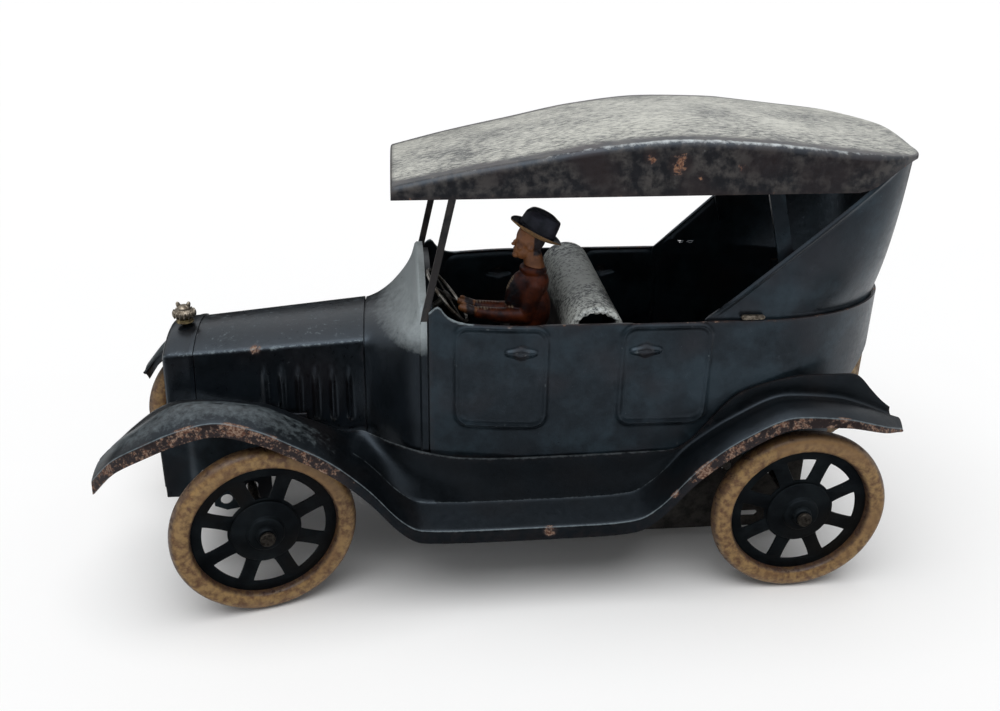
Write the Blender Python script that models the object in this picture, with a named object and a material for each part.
# Tin wind-up toy touring car, in metres.
# +X points to the car's front, +Y to its left side and +Z up; the wheels stand on Z = 0.
import math

import bmesh
import bpy
import numpy as np
from mathutils import Matrix, Vector

# Sheet metal and the gap left between pieces that touch
SHEET = 0.0005
GAP = 0.0003

# Wheels and axles
WHEEL_RADIUS = 0.0185
TYRE_DEPTH = 0.0041
TYRE_WIDTH = 0.0047
WHEEL_SEGMENTS = 36
SPOKES = 8
SPOKE_WIDTH = 0.0028
REAR_SPOKE_PHASE = math.radians(-4.0)
HUB_RADIUS = 0.0068
OPENING_DEPTH = 0.0053
HUB_RISE = 0.0026
HUB_BORE_WALL = 0.0010
AXLE_RADIUS = 0.0010
AXLE_HEAD_RADIUS = 0.0015
AXLE_HEAD_LENGTH = 0.0007
WHEELBASE = 0.1170
REAR_AXLE_X = -0.0604
WHEEL_SIDE_GAP = 0.0023
STEER_AT_REST = math.radians(15.0)

# Body shell
BODY_HALF_WIDTH = 0.0231
BODY_NOSE_HALF_WIDTH = 0.0208
BODY_DEPTH = 0.0297
BODY_RISE = 0.0109
BODY_FRONT_SETBACK = 0.0409
BODY_ROUND_START = 0.0104
BODY_ROUND_LENGTH = 0.0315
BODY_SCROLL_RISE = 0.0033
SIDE_END_ANGLE = math.radians(7.0)
BACK_PANEL_REACH = math.radians(54.0)
CORNER_CUT_HEIGHT = 0.0184
CORNER_CUT_SETBACK = 0.0298
CORNER_CUT_LENGTH = 0.0105
DOOR_WIDTH = 0.0175
DOOR_HEIGHT = 0.0210
DOOR_BULGE = 0.00035
DOOR_TOP_MARGIN = 0.0008
FRONT_DOOR_SETBACK = 0.0053
DOOR_PITCH = 0.0325

# Hood, radiator and cowl
HOOD_LENGTH = 0.0341
HOOD_AHEAD = 0.0062
HOOD_BASE_FRONT = 0.0125
HOOD_BASE_REAR = 0.0150
HOOD_SHOULDER_FRONT = 0.0104
HOOD_SHOULDER_REAR = 0.0122
HOOD_SHOULDER_RISE_FRONT = 0.0198
HOOD_SHOULDER_RISE_REAR = 0.0228
HOOD_CROWN = 0.0023
LOUVRES = 6
LOUVRE_PITCH = 0.0034
LOUVRE_WIDTH = 0.0017
LOUVRE_HEIGHT = 0.0110
LOUVRE_DEPTH = 0.0005
LOUVRE_REAR_MARGIN = 0.0022
LOUVRE_BASE_RISE = 0.0062
RADIATOR_LENGTH = 0.0060
GRILLE_INSET = 0.0010
CAP_RADIUS = 0.0026
CAP_HEIGHT = 0.0048
COWL_BAND = 0.0016
COWL_BAND_RISE = 0.0004
COWL_SHOULDER_RISE = 0.0325
COWL_CROWN = 0.0055
DASHBOARD_PLACE = 0.80

# Roof and rear quarter panel
WINDOW_HEIGHT = 0.0259
ROOF_SIDE_OVERHANG = 0.0016
ROOF_NOSE_SIDE_OVERHANG = 0.0014
ROOF_FRONT_OVERHANG = 0.0062
ROOF_ROUND_LENGTH = 0.0297
ROOF_SQUARENESS = 4.6
QUARTER_SQUARENESS = 4.7
BEAD_WIDTH = 0.0012
BEAD_RISE = 0.0003
ROOF_CROWN = 0.0012
ROOF_FRONT_DROP = 0.0022
ROOF_CORNER_CUT = 0.0090
QUARTER_SLOPE = 0.90
QUARTER_LAP = 0.0018
POST_WIDTH = 0.0014
POST_THICKNESS = 0.0008
POST_LEAN = 0.230
POST_FOOT_AHEAD = 0.0010
POST_FOOT_DROP = 0.0005
STRUT_WIDTH = 0.0030
STRUT_LEAN = 0.27

# Fender and running board pressings
FENDER_LIP = 0.0027
TAIL_PULL = 0.0014
RIGHT_FENDER_SAG = 0.0034
FENDER_CROWN = 0.0011
FENDER_OVERHANG = 0.0019
BOARD_OVERHANG = 0.0029
BOARD_HEIGHT = 0.0004
APRON_HEIGHT = 0.0008
RIDGE_HEIGHT = 0.0035
FRONT_FENDER_CLEARANCE = 0.0073
REAR_FENDER_CLEARANCE = 0.0052

# Chassis pan
PAN_NOSE_HALF_WIDTH = 0.0135
PAN_NOSE_AHEAD = 0.0144
PAN_FLANGE = 0.0112
PAN_TRAY_DEPTH = 0.0008
PAN_TRAY_HALF_WIDTH = 0.0180
PAN_TRAY_FRONT = 0.0260
PAN_TRAY_REAR = -0.0200

# Front axle bracket
BRACKET_HALF_WIDTH = 0.0120
BRACKET_HALF_LENGTH = 0.0070
BRACKET_EAR_DROP = 0.0048
EAR_HOLE_RADIUS = 0.00125
RIVET_RADIUS = 0.0012
RIVET_HEAD_RADIUS = 0.0022
RIVET_HEAD_HEIGHT = 0.0008

# Clockwork
MOTOR_HALF_WIDTH = 0.0130
MOTOR_PLATE = 0.0006
MOTOR_DROP = 0.0145
MOTOR_REAR_REACH = 0.0070
MOTOR_FRONT_REACH = 0.0115
ARBOR_AHEAD = 0.0236
ARBOR_DROP = 0.0030
ARBOR_RADIUS = 0.0013
PILLAR_RADIUS = 0.0010
SPRING_WIDTH = 0.0065
SPRING_THICKNESS = 0.00035
SPRING_TURNS = 5
SPRING_INNER_GAP = 0.0004
SPRING_OUTER_RADIUS = 0.0092
GEAR_MODULE = 0.0006
GEAR_THICKNESS = 0.0009
PINION_LENGTH = 0.0022
GREAT_TEETH = 34
WHEEL_TEETH = 24
PINION_TEETH = 12
RATCHET_TEETH = 12
RATCHET_RADIUS = 0.0048
RATCHET_DEPTH = 0.0012
CLICK_THICKNESS = 0.0008
KEY_REACH = 0.0135
KEY_SPAN = 0.0072
KEY_THICKNESS = 0.0007

# Seats, driver and controls
SEAT_BACK_X = -0.0174
SEAT_ROLL_RADIUS = 0.0056
SEAT_HALF_WIDTH = 0.0205
SEAT_HEIGHT = 0.0150
SEAT_DEPTH = 0.0150
REAR_SEAT_BACK_X = -0.0620
REAR_SEAT_DEPTH = 0.0180
REAR_SEAT_DROP = 0.0100
DRIVER_SIDE = 0.0090
DRIVER_HALF_THICKNESS = 0.0030
HAT_TILT = 28.0
STEERING_WHEEL_RADIUS = 0.0064
STEERING_WIRE = 0.0004
COLUMN_RADIUS = 0.0007
COLUMN_LEAN = math.radians(38.0)

# Places worked out from the sizes above
AXLE_Z = WHEEL_RADIUS
FRONT_AXLE_X = REAR_AXLE_X + WHEELBASE
APRON_OUT = BODY_HALF_WIDTH + GAP + SHEET
TRACK_HALF = BODY_HALF_WIDTH + 2 * GAP + SHEET + WHEEL_SIDE_GAP + TYRE_WIDTH / 2
FENDER_OUT = TRACK_HALF + FENDER_OVERHANG
BOARD_OUT = TRACK_HALF + BOARD_OVERHANG
DISC_OUT = TRACK_HALF + 0.0004
BODY_BASE_Z = AXLE_Z + BODY_RISE
BELT_Z = BODY_BASE_Z + BODY_DEPTH
ROOF_EDGE_Z = BELT_Z + WINDOW_HEIGHT
PAN_TOP = BODY_BASE_Z - GAP
PAN_BOTTOM = PAN_TOP - SHEET
BODY_FRONT_X = FRONT_AXLE_X - BODY_FRONT_SETBACK
BODY_ROUND_X = REAR_AXLE_X + BODY_ROUND_START
HOOD_FRONT_X = FRONT_AXLE_X + HOOD_AHEAD
HOOD_REAR_X = HOOD_FRONT_X - HOOD_LENGTH
COWL_FRONT_X = HOOD_REAR_X - GAP
COWL_REAR_X = BODY_FRONT_X + GAP
COWL_FLARE_X = COWL_REAR_X + COWL_BAND
RADIATOR_REAR_X = HOOD_FRONT_X + GAP
RADIATOR_FRONT_X = RADIATOR_REAR_X + RADIATOR_LENGTH
ROOF_FRONT_X = BODY_FRONT_X + ROOF_FRONT_OVERHANG
ROOF_HALF_WIDTH = BODY_HALF_WIDTH + ROOF_SIDE_OVERHANG
ROOF_NOSE_HALF_WIDTH = BODY_NOSE_HALF_WIDTH + ROOF_NOSE_SIDE_OVERHANG
QUARTER_TIP_X = BODY_ROUND_X + BODY_ROUND_START + 0.0013
POST_OUT = BODY_NOSE_HALF_WIDTH - SHEET - GAP
MOTOR_TOP = PAN_BOTTOM - GAP
MOTOR_LOW_Z = AXLE_Z - MOTOR_DROP
ARBOR_X = REAR_AXLE_X + ARBOR_AHEAD
ARBOR_Z = AXLE_Z - ARBOR_DROP
MOTOR_INNER = MOTOR_HALF_WIDTH - MOTOR_PLATE


def clear_scene():
    for item in list(bpy.data.objects):
        bpy.data.objects.remove(item, do_unlink=True)


def material(name, colour, roughness, metallic):
    made = bpy.data.materials.new(name)
    made.use_nodes = True
    shader = made.node_tree.nodes["Principled BSDF"]
    shader.inputs["Base Color"].default_value = (*colour, 1.0)
    shader.inputs["Roughness"].default_value = roughness
    shader.inputs["Metallic"].default_value = metallic
    return made


def lerp(a, b, t):
    return a + (b - a) * t


def smooth_step(t):
    t = min(max(t, 0.0), 1.0)
    return t * t * (3 - 2 * t)


def curve_value(points, x):
    """Height of a smooth curve through points (x, value), held level past its ends."""
    points = sorted(points)
    xs = np.array([p[0] for p in points])
    ys = np.array([p[1] for p in points])
    if x <= xs[0]:
        return float(ys[0])
    if x >= xs[-1]:
        return float(ys[-1])
    steps = np.diff(ys) / np.diff(xs)
    slopes = np.zeros(len(xs))
    slopes[0], slopes[-1] = steps[0], steps[-1]
    for i in range(1, len(xs) - 1):
        if steps[i - 1] * steps[i] > 0:
            slopes[i] = 2 * steps[i - 1] * steps[i] / (steps[i - 1] + steps[i])
    i = int(np.searchsorted(xs, x)) - 1
    width = xs[i + 1] - xs[i]
    t = (x - xs[i]) / width
    keep = (1 + 2 * t) * (1 - t) ** 2 * ys[i] + t * t * (3 - 2 * t) * ys[i + 1]
    lean = t * (1 - t) ** 2 * width * slopes[i] - t * t * (1 - t) * width * slopes[i + 1]
    return float(keep + lean)


def finish_mesh(name, bm, paint, crease=40.0):
    bmesh.ops.recalc_face_normals(bm, faces=bm.faces[:])
    mesh = bpy.data.meshes.new(name)
    bm.to_mesh(mesh)
    bm.free()
    mesh.shade_smooth()
    mesh.set_sharp_from_angle(angle=math.radians(crease))
    mesh.materials.append(paint)
    made = bpy.data.objects.new(name, mesh)
    bpy.context.scene.collection.objects.link(made)
    return made


def sheet(name, rows, paint, thickness=SHEET, offset=-1.0, closed=False):
    """A bent sheet through rows of points, made solid on the side away from its normals."""
    bm = bmesh.new()
    grid = [[bm.verts.new(p) for p in row] for row in rows]
    count = len(rows[0])
    last = count if closed else count - 1
    for a, b in zip(grid, grid[1:]):
        for i in range(last):
            j = (i + 1) % count
            bm.faces.new((a[i], a[j], b[j], b[i]))
    mesh = bpy.data.meshes.new(name)
    bm.to_mesh(mesh)
    bm.free()
    mesh.shade_smooth()
    mesh.materials.append(paint)
    made = bpy.data.objects.new(name, mesh)
    bpy.context.scene.collection.objects.link(made)
    solid = made.modifiers.new("thickness", "SOLIDIFY")
    solid.thickness = thickness
    solid.offset = offset
    solid.use_even_offset = True
    solid.use_quality_normals = True
    return made


def extruded(name, outline, holes, start, depth, axis, paint, crease=30.0):
    """A flat outline with holes, extruded along an axis: outline points are (X, Z), (X, Y) or (Y, Z)."""
    place = {"Y": lambda a, b: (a, start, b), "Z": lambda a, b: (a, b, start), "X": lambda a, b: (start, a, b)}
    push = {"Y": Vector((0, depth, 0)), "Z": Vector((0, 0, depth)), "X": Vector((depth, 0, 0))}
    bm = bmesh.new()
    for loop in [outline, *holes]:
        ring = [bm.verts.new(place[axis](a, b)) for a, b in loop]
        for i, vert in enumerate(ring):
            bm.edges.new((vert, ring[(i + 1) % len(ring)]))
    bmesh.ops.triangle_fill(bm, use_beauty=True, use_dissolve=False, edges=bm.edges[:])
    grown = bmesh.ops.extrude_face_region(bm, geom=bm.faces[:])
    moved = [g for g in grown["geom"] if isinstance(g, bmesh.types.BMVert)]
    bmesh.ops.translate(bm, vec=push[axis], verts=moved)
    return finish_mesh(name, bm, paint, crease)


def turned(name, profile, axis, paint, segments=24, crease=40.0):
    """A closed profile of (radius, height) spun about the Y or Z axis through the origin."""
    spin_axis = Vector((0, 1, 0)) if axis == "Y" else Vector((0, 0, 1))
    bm = bmesh.new()
    ring = []
    for radius, height in profile:
        point = (radius, height, 0) if axis == "Y" else (radius, 0, height)
        ring.append(bm.verts.new(point))
    edges = [bm.edges.new((a, b)) for a, b in zip(ring, ring[1:])]
    if profile[0][0] > 0:
        edges.append(bm.edges.new((ring[-1], ring[0])))
    bmesh.ops.spin(
        bm, geom=ring + edges, cent=(0, 0, 0), axis=spin_axis,
        angle=2 * math.pi, steps=segments, use_merge=True,
    )
    bmesh.ops.remove_doubles(bm, verts=bm.verts[:], dist=0.00001)
    return finish_mesh(name, bm, paint, crease)


def circle(centre, radius, count=16, start=0.0):
    points = []
    for i in range(count):
        angle = start + 2 * math.pi * i / count
        points.append((centre[0] + radius * math.cos(angle), centre[1] + radius * math.sin(angle)))
    return points


def rounded_box(low, high, radius, steps=3):
    """Outline of a rectangle with round corners."""
    points = []
    corners = ((high[0], high[1], 0), (low[0], high[1], 90), (low[0], low[1], 180), (high[0], low[1], 270))
    for x, y, turn in corners:
        centre_x = x - radius if x == high[0] else x + radius
        centre_y = y - radius if y == high[1] else y + radius
        for i in range(steps + 1):
            angle = math.radians(turn + 90 * i / steps)
            points.append((centre_x + radius * math.cos(angle), centre_y + radius * math.sin(angle)))
    return points


def combine(target, tool, operation):
    """Boolean of target with tool, kept as a modifier; the tool is hidden."""
    step = target.modifiers.new(operation.lower(), "BOOLEAN")
    step.operation = operation
    step.solver = "EXACT"
    step.object = tool
    tool.hide_render = True
    tool.display_type = "WIRE"


def tube(name, points, radius, paint, resolution=2, cyclic=False):
    """A round wire along a route, as a closed mesh."""
    data = bpy.data.curves.new(name, "CURVE")
    data.dimensions = "3D"
    data.bevel_depth = radius
    data.bevel_resolution = resolution
    data.use_fill_caps = True
    data.materials.append(paint)
    spline = data.splines.new("POLY")
    spline.points.add(len(points) - 1)
    for knot, point in zip(spline.points, points):
        knot.co = (*point, 1.0)
    spline.use_cyclic_u = cyclic
    made = bpy.data.objects.new(name, data)
    bpy.context.scene.collection.objects.link(made)
    return made


def pivot(name, location, turn=0.0, parent=None):
    """An empty on a joint's axis, which carries the pieces that move with it."""
    empty = bpy.data.objects.new(name, None)
    empty.location = location
    empty.rotation_euler = (0, 0, turn)
    empty.parent = parent
    bpy.context.scene.collection.objects.link(empty)
    return empty


def carry(parent, *pieces):
    for piece in pieces:
        piece.parent = parent


def body_half_width(x):
    """Outer half-width of the body ahead of its rounded back."""
    taper = smooth_step((x - BODY_FRONT_X + 0.0205) / 0.0205)
    return lerp(BODY_HALF_WIDTH, BODY_NOSE_HALF_WIDTH, taper)


def plan_curve(start_x, half_width, length, squareness, count, end_angle=0.0, width_at=None):
    """Points (x, y) from start_x back along the left side and round the back to end_angle from the middle."""
    fine = []
    if start_x > BODY_ROUND_X:
        for x in np.linspace(start_x, BODY_ROUND_X, 24)[:-1]:
            fine.append((x, width_at(x) if width_at else half_width))
        first = math.pi / 2
    else:
        reach = min((BODY_ROUND_X - start_x) / length, 0.999)
        first = math.acos(reach ** (squareness / 2))
    for angle in np.linspace(first, end_angle, 60):
        back = abs(math.cos(angle)) ** (2 / squareness)
        side = abs(math.sin(angle)) ** (2 / squareness)
        fine.append((BODY_ROUND_X - length * back, half_width * side))
    fine = np.array(fine)
    run = np.concatenate(([0], np.cumsum(np.hypot(*np.diff(fine, axis=0).T))))
    at = np.linspace(0, run[-1], count)
    return [(float(np.interp(s, run, fine[:, 0])), float(np.interp(s, run, fine[:, 1]))) for s in at]


def mirrored(rows):
    """The same rows on the car's right side, reversed so that their normals still point out."""
    return [[(x, -y, z) for x, y, z in reversed(row)] for row in rows]


def door_places():
    """Front and rear X of each door."""
    front = BODY_FRONT_X - FRONT_DOOR_SETBACK
    return [(front, front - DOOR_WIDTH), (front - DOOR_PITCH, front - DOOR_PITCH - DOOR_WIDTH)]


def door_bulge(x, z):
    """How far the pressed doors stand out at a point of the side."""
    low = BELT_Z - DOOR_TOP_MARGIN - DOOR_HEIGHT
    high = BELT_Z - DOOR_TOP_MARGIN
    if not low < z < high:
        return 0.0
    for front, rear in door_places():
        if rear < x < front:
            return DOOR_BULGE
    return 0.0


def body_sides(paint):
    """Left and right sides: pressed doors, a scroll up at the windshield and a cut lower rear corner."""
    rise = [(BODY_FRONT_X, 0.62 * BODY_SCROLL_RISE), (BODY_FRONT_X - 0.0018, BODY_SCROLL_RISE),
            (BODY_FRONT_X - 0.0036, 0.38 * BODY_SCROLL_RISE), (BODY_FRONT_X - 0.0060, 0.05 * BODY_SCROLL_RISE),
            (BODY_FRONT_X - 0.0075, 0.0)]
    edges = [x for x, _ in rise]
    for front, rear in door_places():
        edges += [front + 0.0001, front - 0.0005, rear + 0.0005, rear - 0.0001]
    edges = sorted([*edges, BODY_ROUND_X], reverse=True)
    low_door = BELT_Z - DOOR_TOP_MARGIN - DOOR_HEIGHT
    high_door = BELT_Z - DOOR_TOP_MARGIN
    heights = [BODY_BASE_Z, low_door - 0.0001, low_door + 0.0005, high_door - 0.0005, high_door + 0.0001, BELT_Z]
    rows = []
    for z in heights:
        row = []
        for x in edges:
            lift = curve_value(rise, x) if z == BELT_Z else 0.0
            row.append((x, body_half_width(x) + door_bulge(x, z), z + lift))
        for angle in np.linspace(math.pi / 2, SIDE_END_ANGLE, 11)[1:]:
            x = BODY_ROUND_X - BODY_ROUND_LENGTH * math.cos(angle)
            row.append((x, BODY_HALF_WIDTH * math.sin(angle), z))
        rows.append(row)
    left = sheet("left_body_side", rows, paint)
    right = sheet("right_body_side", mirrored(rows), paint)
    corner_x = BODY_ROUND_X - CORNER_CUT_SETBACK
    cut = [
        (corner_x, BODY_BASE_Z + CORNER_CUT_HEIGHT), (corner_x + 0.0050, BODY_BASE_Z + 0.68 * CORNER_CUT_HEIGHT),
        (corner_x + CORNER_CUT_LENGTH, BODY_BASE_Z - 0.0010), (corner_x - 0.0150, BODY_BASE_Z - 0.0010),
        (corner_x - 0.0150, BODY_BASE_Z + CORNER_CUT_HEIGHT),
    ]
    cutter = extruded("corner_form", cut, [], -BODY_HALF_WIDTH, 2 * BODY_HALF_WIDTH, "Y", paint)
    combine(left, cutter, "DIFFERENCE")
    combine(right, cutter, "DIFFERENCE")
    return left, right


def body_back_panel(paint):
    """The separate sheet that closes the back, lapped inside both sides."""
    inset = SHEET + GAP
    reach = BACK_PANEL_REACH
    rows = []
    for z in (BODY_BASE_Z, BODY_BASE_Z + 0.0100, BODY_BASE_Z + 0.0200, BELT_Z - QUARTER_LAP - GAP):
        row = []
        for angle in np.linspace(reach, -reach, 17):
            x = BODY_ROUND_X - (BODY_ROUND_LENGTH - inset) * math.cos(angle)
            row.append((x, (BODY_HALF_WIDTH - inset) * math.sin(angle), z))
        rows.append(row)
    return sheet("body_back_panel", rows, paint)


def quarter_panel(paint):
    """The upper sheet that wraps the back from belt to roof, with a slanted front edge on each side."""
    low = BELT_Z - QUARTER_LAP
    high = roof_crease(BODY_ROUND_X - ROOF_ROUND_LENGTH, 0.0)[1] - SHEET - 2 * GAP
    clear = BELT_Z + 0.0006
    rows = []
    for z in (low, *(lerp(clear, high, t) for t in (0.0, 0.2, 0.4, 0.6, 0.8, 1.0))):
        out = max((z - clear) / (high - clear), 0.0)
        inset = SHEET + GAP
        half = lerp(BODY_HALF_WIDTH - inset, ROOF_HALF_WIDTH - inset, out)
        length = lerp(BODY_ROUND_LENGTH - inset, ROOF_ROUND_LENGTH - inset, out)
        square = lerp(2.0, QUARTER_SQUARENESS, out)
        start = QUARTER_TIP_X - max(z - BELT_Z, 0.0) / QUARTER_SLOPE
        half_row = plan_curve(start - BEAD_WIDTH, half, length, square, 11)
        front_y = half_row[0][1]
        bead_y = front_y + BEAD_RISE * min(8 * out, 1.0)
        bead = [(start, front_y), (start - 0.25 * BEAD_WIDTH, bead_y), (start - 0.75 * BEAD_WIDTH, bead_y)]
        half_row = bead + half_row
        row = [(x, y, z) for x, y in half_row]
        row += [(x, -y, z) for x, y in reversed(half_row[:-1])]
        rows.append(row)
    return sheet("rear_quarter_panel", rows, paint)


def roof_crease(x, y):
    """Half-width of the roof and the height of its outer crease at x, on the side that y names."""
    height = ROOF_EDGE_Z + curve_value(
        [
            (ROOF_FRONT_X, 0.0013), (ROOF_FRONT_X - 0.0115, 0.0038), (ROOF_FRONT_X - 0.0255, 0.0063),
            (ROOF_FRONT_X - 0.0395, 0.0087), (ROOF_FRONT_X - 0.0535, 0.0098),
            (ROOF_FRONT_X - 0.0675, 0.0092), (ROOF_FRONT_X - 0.0815, 0.0077),
            (ROOF_FRONT_X - 0.0960, 0.0063), (ROOF_FRONT_X - 0.1020, 0.0058),
        ],
        x,
    )
    forward = min(max((x - BODY_ROUND_X) / (ROOF_FRONT_X - BODY_ROUND_X), 0.0), 1.0)
    half = lerp(ROOF_HALF_WIDTH, ROOF_NOSE_HALF_WIDTH, forward)
    drop = ROOF_FRONT_DROP * forward * (0.5 - 0.5 * y / half)
    return half, height - drop


def roof_height(x, y):
    half, crease = roof_crease(x, y)
    return crease + ROOF_CROWN * (1 - (y / half) ** 2)


def roof_outline(x):
    """Half-width of the roof at x, with its rounded back."""
    half = roof_crease(x, 0.0)[0]
    if x >= BODY_ROUND_X:
        return half
    reach = min((BODY_ROUND_X - x) / ROOF_ROUND_LENGTH, 1.0)
    return half * (1 - reach ** ROOF_SQUARENESS) ** (1 / ROOF_SQUARENESS)


def roof(paint):
    """Pressed top: a crowned surface with side flanges whose lower edges are straight."""
    back = BODY_ROUND_X - ROOF_ROUND_LENGTH
    stations = list(np.linspace(ROOF_FRONT_X, BODY_ROUND_X, 13))
    for angle in np.linspace(math.pi / 2, 0.0, 10)[1:]:
        reach = math.cos(angle) ** (2 / ROOF_SQUARENESS)
        stations.append(BODY_ROUND_X - ROOF_ROUND_LENGTH * min(reach, 0.9995))
    rows = []
    for x in stations:
        half = roof_outline(x)
        row = []
        for side in (1, -1):
            flange_low = lerp(ROOF_EDGE_Z, roof_crease(x, side * half)[1] - 0.0008,
                              smooth_step((back + ROOF_CORNER_CUT + 0.0060 - x) / 0.0120))
            if side < 0:
                flange_low -= ROOF_FRONT_DROP * min(max((x - BODY_ROUND_X) / (ROOF_FRONT_X - BODY_ROUND_X), 0), 1)
            crease = roof_crease(x, side * half)[1]
            flange = [
                (x, side * (half + 0.0002), flange_low),
                (x, side * (half + 0.0001), lerp(flange_low, crease, 0.6)),
                (x, side * half, crease - 0.0003),
                (x, side * (half - 0.0007), crease + 0.0001),
            ]
            row.append(flange)
        top = []
        for t in (0.7, 0.38, 0.0, -0.38, -0.7):
            y = half * t
            top.append((x, y, roof_height(x, y)))
        rows.append(row[0] + top + row[1][::-1])
    nose = [(x + 0.0004, y * 0.997, z - 0.0009) for x, y, z in rows[0]]
    return sheet("roof", [*reversed(rows), nose], paint)


def hood_section(x, grow=0.0, louvres=False):
    """Points round the hood at x: base, side, shoulder crease, crown and down the other side."""
    t = (x - HOOD_REAR_X) / HOOD_LENGTH
    base = lerp(HOOD_BASE_REAR, HOOD_BASE_FRONT, t) + grow
    shoulder = lerp(HOOD_SHOULDER_REAR, HOOD_SHOULDER_FRONT, t) + grow
    rise = lerp(HOOD_SHOULDER_RISE_REAR, HOOD_SHOULDER_RISE_FRONT, t) + grow
    low = BODY_BASE_Z
    levels = [0.0, LOUVRE_BASE_RISE, LOUVRE_BASE_RISE + 0.0008,
              LOUVRE_BASE_RISE + LOUVRE_HEIGHT - 0.0010, LOUVRE_BASE_RISE + LOUVRE_HEIGHT]
    left = []
    for i, level in enumerate(levels):
        out = lerp(base, shoulder, (level / rise) ** 1.6)
        if louvres and i in (2, 3):
            out += LOUVRE_DEPTH
        left.append((x, out, low + level))
    left.append((x, shoulder + 0.0004, low + rise - 0.0010))
    left.append((x, shoulder - 0.0004, low + rise))
    crown = []
    for s in (0.62, 0.25, -0.25, -0.62):
        crown.append((x, shoulder * s, low + rise + HOOD_CROWN * (1 - s * s)))
    return left + crown + [(x, -y, z) for x, y, z in reversed(left)]


def hood(paint):
    """Hood with six pressed louvres on each side near the cowl."""
    stations = [(HOOD_FRONT_X, False), (HOOD_FRONT_X - 0.0070, False)]
    first = HOOD_REAR_X + LOUVRE_REAR_MARGIN + LOUVRE_PITCH * (LOUVRES - 1) + LOUVRE_WIDTH
    for i in range(LOUVRES):
        front = first - LOUVRE_PITCH * i
        stations += [(front, False), (front - 0.6 * LOUVRE_WIDTH, True), (front - LOUVRE_WIDTH, False)]
    stations.append((HOOD_REAR_X, False))
    rows = [hood_section(x, louvres=raised) for x, raised in stations]
    return sheet("hood", list(reversed(rows)), paint)


def radiator(shell_paint, core_paint):
    """Radiator shell, one sheet thickness larger than the hood, and the core set into its front."""
    rows = []
    for t, grow in ((0.0, 0.0002), (0.5, 0.0002), (0.85, 0.0001), (1.0, -0.0006)):
        section = hood_section(lerp(RADIATOR_REAR_X, RADIATOR_FRONT_X, t), grow)
        rows.append(section)
    lip = [(x - 0.0001, y * 0.86, lerp(BODY_BASE_Z, z, 0.93)) for x, y, z in rows[-1]]
    shell = sheet("radiator_shell", [*rows, lip], shell_paint)
    x = RADIATOR_FRONT_X - GRILLE_INSET
    inner = [(y, z) for _, y, z in hood_section(x, -SHEET - 2 * GAP)]
    core = extruded("radiator_core", inner, [], x - SHEET - 0.0004, SHEET, "X", core_paint)
    return shell, core


def filler_cap(paint):
    """Crimped cap on the radiator shell's crown."""
    seat = max(z for _, _, z in hood_section(RADIATOR_REAR_X, 0.0002)) + GAP
    neck = 0.62 * CAP_RADIUS
    profile = [
        (0.0, 0.0), (0.85 * CAP_RADIUS, 0.0), (0.9 * CAP_RADIUS, 0.12 * CAP_HEIGHT), (neck, 0.22 * CAP_HEIGHT),
        (0.92 * CAP_RADIUS, 0.36 * CAP_HEIGHT), (CAP_RADIUS, 0.58 * CAP_HEIGHT),
        (0.78 * CAP_RADIUS, 0.8 * CAP_HEIGHT), (0.5 * CAP_RADIUS, CAP_HEIGHT), (0.0, 0.93 * CAP_HEIGHT),
    ]
    cap = turned("filler_cap", profile, "Z", paint, 16)
    cap.location = (lerp(RADIATOR_REAR_X, RADIATOR_FRONT_X, 0.45), 0, seat)
    return cap


def cowl_section(t, grow=0.0, x=None):
    """Cowl section from the hood (t = 0) to the end of its flare (t = 1), shaped like half a bell."""
    x = lerp(COWL_FRONT_X, COWL_FLARE_X, t) if x is None else x
    flare = curve_value([(0, 0), (0.26, 0.08), (0.49, 0.19), (0.68, 0.34), (0.84, 0.52), (0.94, 0.70), (1, 0.90)], t)
    base_half = lerp(HOOD_BASE_REAR, BODY_NOSE_HALF_WIDTH - COWL_BAND_RISE, smooth_step(t)) + grow
    shoulder = lerp(HOOD_SHOULDER_REAR, BODY_NOSE_HALF_WIDTH - 0.0012, smooth_step(t)) + grow
    rise = lerp(HOOD_SHOULDER_RISE_REAR, COWL_SHOULDER_RISE, flare) + grow
    crown = lerp(HOOD_CROWN, COWL_CROWN, flare)
    levels = [0.0, 0.22, 0.45, 0.65, 0.82, 0.955]
    left = [(x, lerp(base_half, shoulder, s ** 1.6), BODY_BASE_Z + rise * s) for s in levels]
    left.append((x, shoulder - lerp(0.0004, 0.0018, t), BODY_BASE_Z + rise * lerp(1.0, 1.02, t)))
    top = []
    for s in (0.62, 0.25, -0.25, -0.62):
        top.append((x, shoulder * s, BODY_BASE_Z + rise + crown * (1 - abs(s) ** 2.2)))
    return left + top + [(px, -py, pz) for px, py, pz in reversed(left)]


def cowl(paint):
    """Bell-shaped cowl with a raised band at the windshield, slotted for the posts."""
    band = [cowl_section(1.0, COWL_BAND_RISE, x) for x in (COWL_REAR_X, COWL_FLARE_X - 0.0003)]
    flare = [cowl_section(t) for t in (1.0, 0.95, 0.86, 0.72, 0.5, 0.25, 0.0)]
    made = sheet("cowl", band + flare, paint)
    for name, side in (("left_slot_form", 1), ("right_slot_form", -1)):
        start = side * POST_OUT - (POST_THICKNESS if side > 0 else 0.0) - GAP
        outline = post_outline(side, POST_WIDTH / 2 + GAP, GAP)
        combine(made, extruded(name, outline, [], start, POST_THICKNESS + 2 * GAP, "Y", paint), "DIFFERENCE")
    return made


def dashboard_x():
    return lerp(COWL_FRONT_X, COWL_FLARE_X, DASHBOARD_PLACE)


def dashboard(paint):
    """Flat panel that closes the cowl's rear, set inside it."""
    inner = []
    for x, y, z in cowl_section(DASHBOARD_PLACE, -SHEET - 2 * GAP):
        inner.append((y, max(z, BODY_BASE_Z + GAP)))
    x = dashboard_x()
    return extruded("dashboard", inner, [], x - SHEET, SHEET, "X", paint)


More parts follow.
